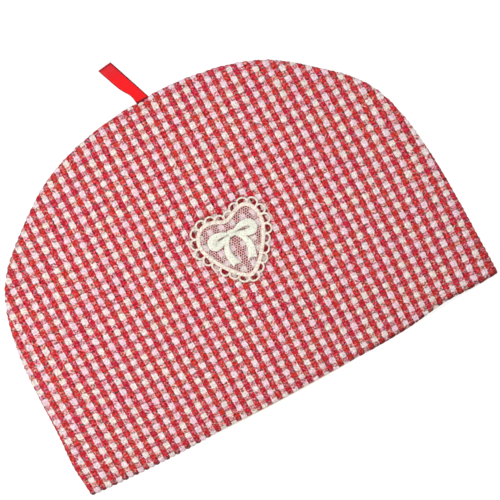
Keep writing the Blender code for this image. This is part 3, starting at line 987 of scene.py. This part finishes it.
# %% Front and back cloth
PANELS = {"front": (-1, FRONT_SWELLS, front_cells), "back": (1, BACK_SWELLS, back_cells)}
cloths = {}
for name, (side, swells, cells_of) in PANELS.items():
    points, cells, shade = cloth_points(side, swells, cells_of)
    if side > 0:
        points, cells, shade = points[:, ::-1], cells[:, ::-1], shade[:, ::-1]
    cloth = make_piece("cloth_" + name, [{"points": points, "map": cells}], checked, "cloth")
    # each point's painted shade, which the checked cotton reads as its attribute
    painted_shades = cloth.data.attributes.new("shade", 'FLOAT', 'POINT')
    painted_shades.data.foreach_set("value", shade.astype(np.float32).ravel())
    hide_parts("panel_" + name)
    cloths[name] = cloth

# %% [markdown]
# ## The lining
# Inside, a cream cotton lining hides the wadding. It is cut like the panels but smaller, and its
# fold at the hem is stitched under the checked cloth. Along the middle of the hem the checked
# cloth is drawn up slightly, so the lining's fold shows as a thin cream line underneath.

# %% Material of the plain cream cotton
WEAVE_PITCH = 0.0011


def cream_cotton():
    """Undyed plain weave, its yarns laid along x and z."""
    material, shader, start = new_material("cream_lining", 0.95, sheen=0.1, specular=0.1)
    place = start.node("TexCoord", None, None, 3)
    weave = [(place.part(axis) * (math.pi / WEAVE_PITCH)).sine() for axis in (0, 2)]
    weave = (weave[0] * weave[1]).size()
    slub = start.node("TexNoise", None, {"Vector": place, "Scale": 260.0, "Detail": 4.0})
    mix = (weave * 0.6 + slub * 0.7).ramp(0.25, 0.85)
    connect(shader, "Base Color", mix.tint(screen(234, 224, 206), screen(252, 247, 236)))
    fine_relief(shader, weave + slub, 0.4, 0.0003)
    return material


cream = cream_cotton()
print("the weave of the lining repeats every", 1000 * WEAVE_PITCH, "mm")

# %% Sizes of the lining
LINING_COLUMNS = 121
LINING_ROWS = 81
LINING_INSET = CLOTH + GAP
LINING_RAISED = 0.0060
RAISED_FADE = 0.010
RIPPLE = 0.0004
LINING_FOLD = (
    (0.0, 0.0045), (-0.0002, 0.0025), (-0.0006, 0.0012), (-0.0004, 0.0007),
    (0.0006, 0.0006), (0.0010, 0.0014), (0.0010, 0.0060),
)
PEEP_FOLD = (
    (-0.0001, 0.0040), (-0.0008, 0.0019), (-0.0022, 0.0012), (-0.0030, 0.0006),
    (-0.0024, 0.0001), (-0.0006, 0.0001), (0.0010, 0.0050),
)


# %% Lining panels
def lining_points(side, swells):
    """The lining's rows of points, its fold at the hem first."""
    flat = dome_grid(np.linspace(0.0, 1.0, LINING_COLUMNS), np.linspace(0.0, 1.0, LINING_ROWS))
    flat = flat * np.array([1 - LINING_INSET / HALF_WIDTH, 1 - LINING_INSET / HEIGHT])
    x, z = flat[..., 0], flat[..., 1]
    z = z + LINING_RAISED * np.exp(-z / RAISED_FADE)
    depth = np.maximum(depth_at(x, z, swells) - LINING_INSET, GAP / 2)
    ripple = RIPPLE * np.sin(90 * x + 35 * z) * np.clip(depth / 0.01, 0.0, 1.0)
    points = np.stack([x, side * np.maximum(depth + ripple, GAP / 2), z], -1)
    rim = points[0]
    inwards = inwards_from(rim, side)
    peep = hem_peep(rim[:, 0])[:, None]
    lift = hem_lift(rim[:, 0], side) - HEM_LIFT * peep[:, 0]
    folds = []
    for plain, peeping in zip(LINING_FOLD, PEEP_FOLD):
        row = rim.copy()
        row[:, :2] += (plain[0] + (peeping[0] - plain[0]) * peep) * inwards
        keep_side(row, side)
        row[:, 2] = (plain[1] + (peeping[1] - plain[1]) * peep)[:, 0] + lift
        folds.append(row)
    return np.concatenate([folds[::-1], points])


for name, (side, swells, _) in PANELS.items():
    points = lining_points(side, swells)
    if side > 0:
        points = points[:, ::-1]
    lining = make_piece("lining_cloth_" + name, [{"points": points}], cream)
    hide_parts("lining_" + name)

# %% [markdown]
# ## The ribbon loop
# A short loop of red satin ribbon is caught in the top of the seam for hanging the cosy up. It
# leans to the left, narrows a little above the seam, and ends in a flat fold. Satin shines along
# its length, and its face is also painted brighter low down and duller towards the fold, as painted
# sheen and shade. Its two woven edges are darker, and painted shade darkens its fold and the line
# where it enters the seam.

# %% Sizes of the ribbon loop
RIBBON_HEIGHT = 0.0354
RIBBON_WIDTH = 0.0111
RIBBON_THICK = 0.0010
RIBBON_LEAN = -0.0128
RIBBON_BELLY = 0.0071
RIBBON_ROOT = 0.0022
CREST_TILT = math.radians(7.0)
WAIST_HEIGHT = 0.18
WAIST_SPREAD = 0.17
WAIST_NARROWING = 0.17
RIBBON_SHEET = 0.00055
RIBBON_RUN = 0.0765
RIB_PITCH = 0.00055


# %% Material of the satin ribbon
def satin_ribbon():
    """Red satin: fine ribs across, painted sheen above the seam, darker edges, painted shade at fold and
    seam.
    """
    material, shader, start = new_material("red_satin", 0.42, sheen=0.0, specular=0.2)
    place = start.node("UVMap", {"uv_map": "ribbon"})
    across, along = place.part(0), place.part(1)
    from_fold = (along - RIBBON_RUN / 2).size()
    # painted shade along the fold at the top and where the ribbon enters the seam
    fold = 1 - from_fold.ramp(0.0002, 0.0008)
    seam_shadow = from_fold.ramp(RIBBON_HEIGHT - 0.0002, RIBBON_HEIGHT + 0.0004)
    # the woven edges are darker in their own colour, the fold and the seam's line by painted shade
    edge = (across - 0.5).size().ramp(0.42, 0.48).larger(fold).larger(seam_shadow)
    ribs = (along * (math.pi / RIB_PITCH)).sine().size()
    sockets = {"Vector": place, "Scale": 4.0, "Detail": 2.0}
    cloudy = start.node("TexNoise", {"noise_dimensions": '2D'}, sockets)
    # the face is painted duller towards the fold, as painted shade, with a random mottle
    fold_shade_and_mottle = from_fold.ramp(0.018, 0.001) * 0.75 + cloudy.ramp(0.35, 0.65) * 0.25
    face = fold_shade_and_mottle.tint(screen(248, 4, 14), screen(212, 28, 40))
    colour = edge.tint(face, screen(128, 14, 30))
    connect(shader, "Base Color", colour.darken(0.88 + 0.14 * ribs))
    connect(shader, "Roughness", 0.36 + 0.3 * edge)
    fine_relief(shader, ribs, 0.25, 0.0002)
    return material


satin = satin_ribbon()

# %% Middle line and width of the ribbon
top_of_seam = arch_z > SHOULDER_HEIGHT
ribbon_base = float(np.interp(RIBBON_PLACE, arch_x[top_of_seam], arch_z[top_of_seam]))
turn = np.linspace(0.0, math.tau, 161)
root = (RIBBON_THICK + GAP) / 2
belly = RIBBON_BELLY * np.sin(turn) * np.sin(turn / 2) ** 2
middle_y = np.concatenate([[-root], -belly - root * np.cos(turn / 2), [root]])
rise = RIBBON_HEIGHT * (1 - np.cos(turn)) / 2
rise = np.concatenate([[-RIBBON_ROOT], rise, [-RIBBON_ROOT]])
run = np.concatenate([[0.0], np.cumsum(np.hypot(np.diff(middle_y), np.diff(rise)))])
share = np.clip(rise / RIBBON_HEIGHT, 0.0, 1.0)
width = 1 - WAIST_NARROWING * np.exp(-((share - WAIST_HEIGHT) / WAIST_SPREAD) ** 2)
width = RIBBON_WIDTH * width
lean = RIBBON_LEAN * share + (RIBBON_WIDTH - width) / 2
slant = np.stack([np.gradient(middle_y), np.gradient(rise)], -1)
slant /= np.linalg.norm(slant, axis=1, keepdims=True)
out_y, out_z = slant[:, 1], -slant[:, 0]
print("ribbon length:", round(float(run[-1]), 4), "m")

# %% Faces of the ribbon loop
section = np.linspace(-0.5, 0.5, 13)
faces_of_ribbon = []
for offset, order in ((0.5, section), (-0.5, section[::-1])):
    thin = offset * RIBBON_SHEET * (1 - 0.5 * (2 * np.abs(order)) ** 8)
    across = order[None] * width[:, None]
    x = RIBBON_PLACE + lean[:, None] + across
    y = middle_y[:, None] + thin[None] * out_y[:, None]
    z = ribbon_base + rise[:, None] + across * math.tan(CREST_TILT) * share[:, None]
    z = z + thin[None] * out_z[:, None]
    spread = np.broadcast_to(order[None] + 0.5, x.shape)
    places_on_map = np.stack([spread, 0 * spread + run[:, None]], -1)
    faces_of_ribbon.append((np.stack([x, y, z], -1), places_on_map))
points, places_on_map = (np.concatenate(part, axis=1) for part in zip(*faces_of_ribbon))
strip = {"points": points, "map": places_on_map, "round_columns": True, "caps": True}
ribbon = make_piece("ribbon", [strip], satin, "ribbon")
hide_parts("ribbon_loop")

# %% [markdown]
# ## Corded edging
# The band and the small loops round it are cords covered in close stitches. Each is a tube whose
# section swells and shrinks along its length, once for each stitch, which catches the light as
# satin stitch does. The loops start and end inside the band, so nothing is left loose.

# %% A stitched cord
def cord_strip(line, wide, high, lift, stitch, depth=0.10, closed=True, points=12, slant=1.0):
    """A cord along a flat line: half widths, height of its middle, and its stitches."""
    side = outward(line, closed)
    theta = math.tau * np.arange(points) / points
    phase = math.tau * lengths_along(line)[:, None] / stitch + slant * theta[None]
    swell = 1 + depth * np.cos(phase)
    flat = line[:, None] + side[:, None] * (wide * np.cos(theta)[None] * swell)[..., None]
    above = lift + high * np.sin(theta)[None] * swell
    return {"points": lay_on_front(flat, above), "round_columns": True, "round_rows": closed,
            "caps": not closed}


# %% Sizes of the band and the loops
BAND_STOPS = 900
BAND_STITCH = 0.00062
SCALLOPS = 23
FIRST_LOOP = 0.0042
SCALLOP_REACH = 0.0050
LOOP_SHARE = 0.0004
LOOP_ROOT = 0.0006
LOOP_POWER = 0.62
LOOP_UNEVEN = 0.08
SIDE_LOOPS = 0.24
SIDE_OF_HEART = 0.027
SIDE_FROM = -0.004
NOTCH_LOOPS = 0.22
NOTCH_SPREAD = 0.005
CORD = 0.00072
CORD_HIGH = 0.00062
CORD_LIFT = 0.00066
CORD_STITCH = 0.00080
LOOP_STOPS = 44

# %% Band and loops
band_middle = even_stops(heart - outward(heart) * BAND_WIDTH / 2, BAND_STOPS)
band_high = BAND_THICK / 2
strips = [cord_strip(band_middle, BAND_WIDTH / 2, band_high, LACE_GAP + band_high, BAND_STITCH)]
fine = np.vstack([heart, heart[:1]])
fine_out = outward(heart)
fine_out = np.vstack([fine_out, fine_out[:1]])
passed = lengths_along(fine)


def beside_heart(run, out):
    """Places at lengths along the heart's outline and distances outwards."""
    run = np.mod(run, passed[-1])
    place = np.stack([np.interp(run, passed, fine[:, k]) for k in range(2)], -1)
    way = np.stack([np.interp(run, passed, fine_out[:, k]) for k in range(2)], -1)
    return place + way * np.asarray(out)[..., None]


loop_pitch = passed[-1] / SCALLOPS
arc = np.linspace(0.0, math.pi, 40)
for number in range(SCALLOPS):
    centre = FIRST_LOOP + loop_pitch * number
    across, up = beside_heart(centre, 0.0)
    size = 1 + LOOP_UNEVEN * math.sin(2.3 * number + 0.7)
    size += SIDE_LOOPS * (abs(across) / SIDE_OF_HEART) ** 4 * (up > SIDE_FROM)
    size -= NOTCH_LOOPS * math.exp(-(across / NOTCH_SPREAD) ** 2) * (up > 0)
    run = centre - 0.5 * (loop_pitch - LOOP_SHARE) * np.cos(arc)
    out = (SCALLOP_REACH - CORD) * size * np.sin(arc) ** LOOP_POWER - LOOP_ROOT
    line = even_stops(beside_heart(run, out), LOOP_STOPS, closed=False)
    strips.append(cord_strip(line, CORD, CORD_HIGH, LACE_GAP + CORD_LIFT, CORD_STITCH,
                             depth=0.12, closed=False, points=9, slant=2.0))
print(SCALLOPS, "loops, one every", round(1000 * float(loop_pitch), 2), "mm")


# %% Material of the lace
def lace_thread(name, colour, shade, scale=800.0):
    """Ivory cotton thread, mottled, and painted a little darker in its hollows as painted shade."""
    material, shader, start = new_material(name, 0.75, sheen=0.15, specular=0.25)
    place = start.node("TexCoord", None, None, 3)
    sockets = {"Vector": place, "Scale": scale, "Detail": 4.0, "Roughness": 0.6}
    fluff = start.node("TexNoise", None, sockets)
    # the colour follows the relief's heights: its low hollows get painted shade
    connect(shader, "Base Color", fluff.ramp(0.32, 0.62).tint(shade, colour))
    fine_relief(shader, fluff, 0.35, 0.0002)
    return material


ivory = lace_thread("ivory_lace", screen(250, 240, 226), screen(210, 191, 175))
edging = make_piece("lace_edging", strips, ivory)
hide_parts("heart_edging")

# %% [markdown]
# ## The net
# It is a real mesh of six-sided holes, cut to the heart and turned into thin threads with the
# Wireframe modifier, so that it looks right from any side. Its knots are shifted a little,
# because soft net is never regular. Its rim is under the band.

# %% Net inside the heart
HOLE = 0.00190
THREAD = 0.00040
NET_LIFT = 0.00025
NET_RIM = 0.0016
NET_STOPS = 240
NET_SHIFT = 0.00024
SHIFT_WAVES = (9100.0, 5300.0)
NET_ROWS = range(-24, 26)
NET_COLUMNS = range(-26, 27)
SAME_KNOT = 0.00005


def inside_line(place, line):
    """Whether a place lies inside a closed line, by counting the sides to the right of it."""
    following = np.roll(line, -1, axis=0)
    crossing = (line[:, 1] > place[1]) != (following[:, 1] > place[1])
    part = (place[1] - line[:, 1]) / np.where(crossing, following[:, 1] - line[:, 1], 1.0)
    right = line[:, 0] + part * (following[:, 0] - line[:, 0]) > place[0]
    return (crossing & right).sum() % 2 == 1


def net_of_holes(rim):
    """The knots and the six-sided holes of a flat net inside a rim."""
    faces, corners, known = [], [], {}
    radius = HOLE / math.sqrt(3)
    angles = [math.pi / 6 + corner * math.pi / 3 for corner in range(6)]
    for row, column in itertools.product(NET_ROWS, NET_COLUMNS):
        centre = np.array([(column + 0.5 * (row % 2)) * HOLE, row * radius * 1.5])
        if not inside_line(centre, rim):
            continue
        face = []
        for angle in angles:
            place = centre + radius * np.array([math.cos(angle), math.sin(angle)])
            key = tuple(np.round(place / SAME_KNOT).astype(int))
            near = [(key[0] + a, key[1] + b) for a in (0, -1, 1) for b in (0, -1, 1)]
            match = next((known[k] for k in near if k in known), None)
            if match is None:
                match = len(corners)
                known[key] = match
                corners.append(place)
            face.append(match)
        faces.append(face)
    return np.array(corners), faces


corners, holes = net_of_holes(even_stops(heart - fine_out[:-1] * NET_RIM, NET_STOPS))
corners += NET_SHIFT * np.sin(SHIFT_WAVES[0] * corners[:, ::-1] + SHIFT_WAVES[1] * corners)
mesh = bpy.data.meshes.new("lace_net")
mesh.from_pydata(lay_on_front(corners, LACE_GAP + NET_LIFT).tolist(), [], holes)
mesh.materials.append(lace_thread("ivory_net", screen(255, 250, 246), screen(232, 216, 208)))
net = add_object("lace_net", mesh)
wires = net.modifiers.new("Threads", 'WIREFRAME')
wires.thickness = THREAD
wires.use_even_offset = False
wires.use_boundary = True
threads = bpy.data.meshes.new_from_object(net.evaluated_get(bpy.context.evaluated_depsgraph_get()))
net.modifiers.clear()
net.data = threads
threads.shade_smooth()
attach(net, "root")
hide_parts("heart_net")
print("net:", len(holes), "holes,", sum(len(p.vertices) - 2 for p in threads.polygons), "triangles")

# %% [markdown]
# ## The bow
# The bow is padded satin stitch: two teardrop loops, each with a slit, two notched tails and a
# knot over them. Every part is a low dome with fine ridges across it, where the stitches lie.
# The loops are rings round their slits, so the stitches fan out from the slit as they are sewn.

# %% Parts of the bow
BOW_UP = 0.0102
BOW_LOOPS = (
    {"side": -1, "length": 0.0198, "droop": -0.0022, "width": 0.0128, "slit": (0.44, 0.14, 0.050, 0.0)},
    {"side": 1, "length": 0.0204, "droop": -0.0022, "width": 0.0136, "slit": (0.46, 0.27, 0.070, 0.7)},
)
BOW_TAILS = (
    {"side": -1, "bulge": 0.0056, "end": 0.0058, "length": 0.0240, "start": 0.0028, "finish": 0.0068},
    {"side": 1, "bulge": 0.0062, "end": 0.0062, "length": 0.0245, "start": 0.0030, "finish": 0.0074},
)
TAIL_NOTCH = 0.0024
TAIL_TURN = 0.8
LOOP_FULLNESS = 0.62
LOOP_POINTS = 200
LOOP_PUFF = 0.00125
LOOP_RIDGES = 90
TAIL_PUFF = 0.00095
TAIL_RIDGES = 34
KNOT_WIDE = 0.0032
KNOT_TALL = 0.0027
KNOT_PUFF = 0.0012
KNOT_LIFT = 0.0002
KNOT_UNDER = 0.15
KNOT_RIDGES = 5
RIDGE = 0.10
BOW_UNDER = 0.12
BOW_LIFT = LACE_GAP + NET_THICK + 0.0001


def domed(theta, under=BOW_UNDER):
    """A section's heights: a round top, and an underside that is almost flat."""
    return np.where(np.sin(theta) > 0, 1.0, under)[None] * np.sin(theta)[None]


def bow_loop(loop):
    """One loop of the bow as a domed ring round its slit."""
    turn = math.tau * np.arange(LOOP_POINTS) / LOOP_POINTS
    reach = (1 - np.cos(turn)) / 2
    swell = LOOP_FULLNESS * loop["width"] * np.sin(turn) * np.sin(turn / 2)
    outer = np.stack([loop["side"] * loop["length"] * reach, BOW_UP + loop["droop"] * reach + swell], -1)
    slit_middle, slit_reach, slit_open, drop = loop["slit"]
    reach = slit_middle - slit_reach * np.cos(turn)
    opening = slit_open * loop["width"] * np.sin(turn) * (1 - drop * np.cos(turn))
    slit = np.stack([loop["side"] * loop["length"] * reach, BOW_UP + loop["droop"] * reach + opening], -1)
    theta = math.tau * np.arange(20) / 20
    part = (0.5 - 0.5 * np.cos(theta))[None, :, None]
    flat = slit[:, None] + (outer - slit)[:, None] * part
    wide = np.linalg.norm(outer - slit, axis=1)[:, None]
    puff = np.minimum(LOOP_PUFF, 0.45 * wide) * (1 - RIDGE * np.cos(LOOP_RIDGES * turn)[:, None])
    points = lay_on_front(flat, BOW_LIFT + domed(theta) * puff)
    return {"points": points, "round_rows": True, "round_columns": True}


def bow_tail(tail):
    """One tail: it bows outwards, turns back in, widens and ends in a notch."""
    share = np.linspace(0.0, 1.0, 90)
    bulge = tail["bulge"] * np.sin(math.pi * share ** TAIL_TURN)
    middle = tail["side"] * (bulge + tail["end"] * share)
    half = (tail["start"] + (tail["finish"] - tail["start"]) * share) / 2
    theta = math.tau * np.arange(18) / 18
    across = np.cos(theta)[None]
    x = middle[:, None] + half[:, None] * across
    notch = TAIL_NOTCH * (1 - np.abs(across)) * np.clip((share[:, None] - 0.7) / 0.3, 0.0, 1.0) ** 2
    y = BOW_UP - tail["length"] * share[:, None] + notch
    puff = np.minimum(TAIL_PUFF, 0.6 * half) * (1 - RIDGE * np.cos(math.tau * share * TAIL_RIDGES))
    puff = puff * np.clip((1.02 - share) / 0.08, 0.35, 1.0)
    points = lay_on_front(np.stack([x, y], -1), BOW_LIFT + domed(theta) * puff[:, None])
    return {"points": points, "round_columns": True, "caps": True}


def bow_knot():
    """The knot, a small domed oval over the meeting of the loops."""
    share = np.linspace(-0.98, 0.98, 26)
    theta = math.tau * np.arange(18) / 18
    half = np.sqrt(1 - share ** 2)
    x = KNOT_WIDE * share[:, None] + 0 * theta[None]
    y = BOW_UP + KNOT_TALL * half[:, None] * np.cos(theta)[None]
    puff = KNOT_PUFF * half * (1 - 0.08 * np.cos(math.tau * share * KNOT_RIDGES))
    above = BOW_LIFT + KNOT_LIFT + domed(theta, KNOT_UNDER) * puff[:, None]
    points = lay_on_front(np.stack([x, y], -1), above)
    return {"points": points, "round_columns": True, "caps": True}


strips = [bow_loop(loop) for loop in BOW_LOOPS] + [bow_tail(tail) for tail in BOW_TAILS] + [bow_knot()]
bow_thread = lace_thread("ivory_bow", screen(247, 248, 232), screen(214, 212, 196))
bow = make_piece("lace_bow", strips, bow_thread)
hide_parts("heart_bow")

# %% [markdown]
# ## Stitches of the hem
# The hem is held by a row of small stitches 6 mm above its edge, sunk into the groove that they
# make. Each stitch is a short thick thread with its ends going into the cloth.

# %% Hem stitches
STITCH_PITCH = 0.0034
STITCH_LENGTH = 0.0023
STITCH_THREAD = 0.00024
STITCH_BOW = 0.00022
STITCH_SUNK = 0.0001
STITCH_MARGIN = 0.010


def hem_stitches(side, swells):
    """Short threads along the groove above the hem of one panel."""
    strips = []
    x = np.linspace(-HALF_WIDTH, HALF_WIDTH, 2000)[1:-1]
    height = STITCH_HEIGHT + hem_lift(x, side)
    y = side * (depth_at(x, height, swells) - PINCH_DEPTH)
    passed = np.concatenate([[0.0], np.cumsum(np.hypot(np.diff(x), np.diff(y)))])
    theta = math.tau * np.arange(6) / 6
    for start in np.arange(STITCH_MARGIN, passed[-1] - STITCH_MARGIN, STITCH_PITCH):
        run = np.linspace(start, start + STITCH_LENGTH, 7)
        bow = np.sin(np.linspace(0.0, math.pi, 7))
        place = np.stack([np.interp(run, passed, way) for way in (x, y, height)], -1)
        place[:, 1] += side * (STITCH_BOW * bow - STITCH_SUNK)
        ring = np.stack([0 * theta, side * np.cos(theta), np.sin(theta)], -1) * STITCH_THREAD
        points = place[:, None] + ring[None] * (0.5 + 0.5 * bow)[:, None, None]
        strips.append({"points": points, "round_columns": True, "caps": True})
    return strips


thread_of_hem = lace_thread("hem_thread", screen(226, 150, 150), screen(196, 96, 100), 900.0)
for name, (side, swells, _) in PANELS.items():
    stitches = make_piece("hem_stitches_" + name, hem_stitches(side, swells), thread_of_hem)

# %% [markdown]
# ## Floor
# The floor is one large plain sheet under the hem. It gives off some light of its own, so that
# it looks as white as the surrounding, and only a faint shadow shows at the hem.

# %% Floor
FLOOR_GREY = 0.3
FLOOR_GLOW = 0.84
FLOOR_REACH = 60.0
FLOOR_DROP = -0.0002
material, shader, start = new_material("pale_floor", 0.9, specular=0.0)
shader.inputs["Base Color"].default_value = (FLOOR_GREY, FLOOR_GREY, FLOOR_GREY, 1.0)
shader.inputs["Emission Color"].default_value = (1.0, 1.0, 1.0, 1.0)
shader.inputs["Emission Strength"].default_value = FLOOR_GLOW
corners = [(-1, -1), (1, -1), (1, 1), (-1, 1)]
places = [(FLOOR_REACH * x, FLOOR_REACH * y, FLOOR_DROP) for x, y in corners]
mesh = bpy.data.meshes.new("floor")
mesh.from_pydata(places, [], [(0, 1, 2, 3)])
mesh.materials.append(material)
floor = add_object("floor", mesh)

# %% [markdown]
# ## What is cloth
# Flat, before it was sewn, the arch of a panel fills about nine tenths of its rectangle, and the
# net's threads about half of theirs. The loop below only spells the names of each panel's lining
# and hem stitches.

for name, cloth in cloths.items():
    "lining_cloth_" + name
    "hem_stitches_" + name
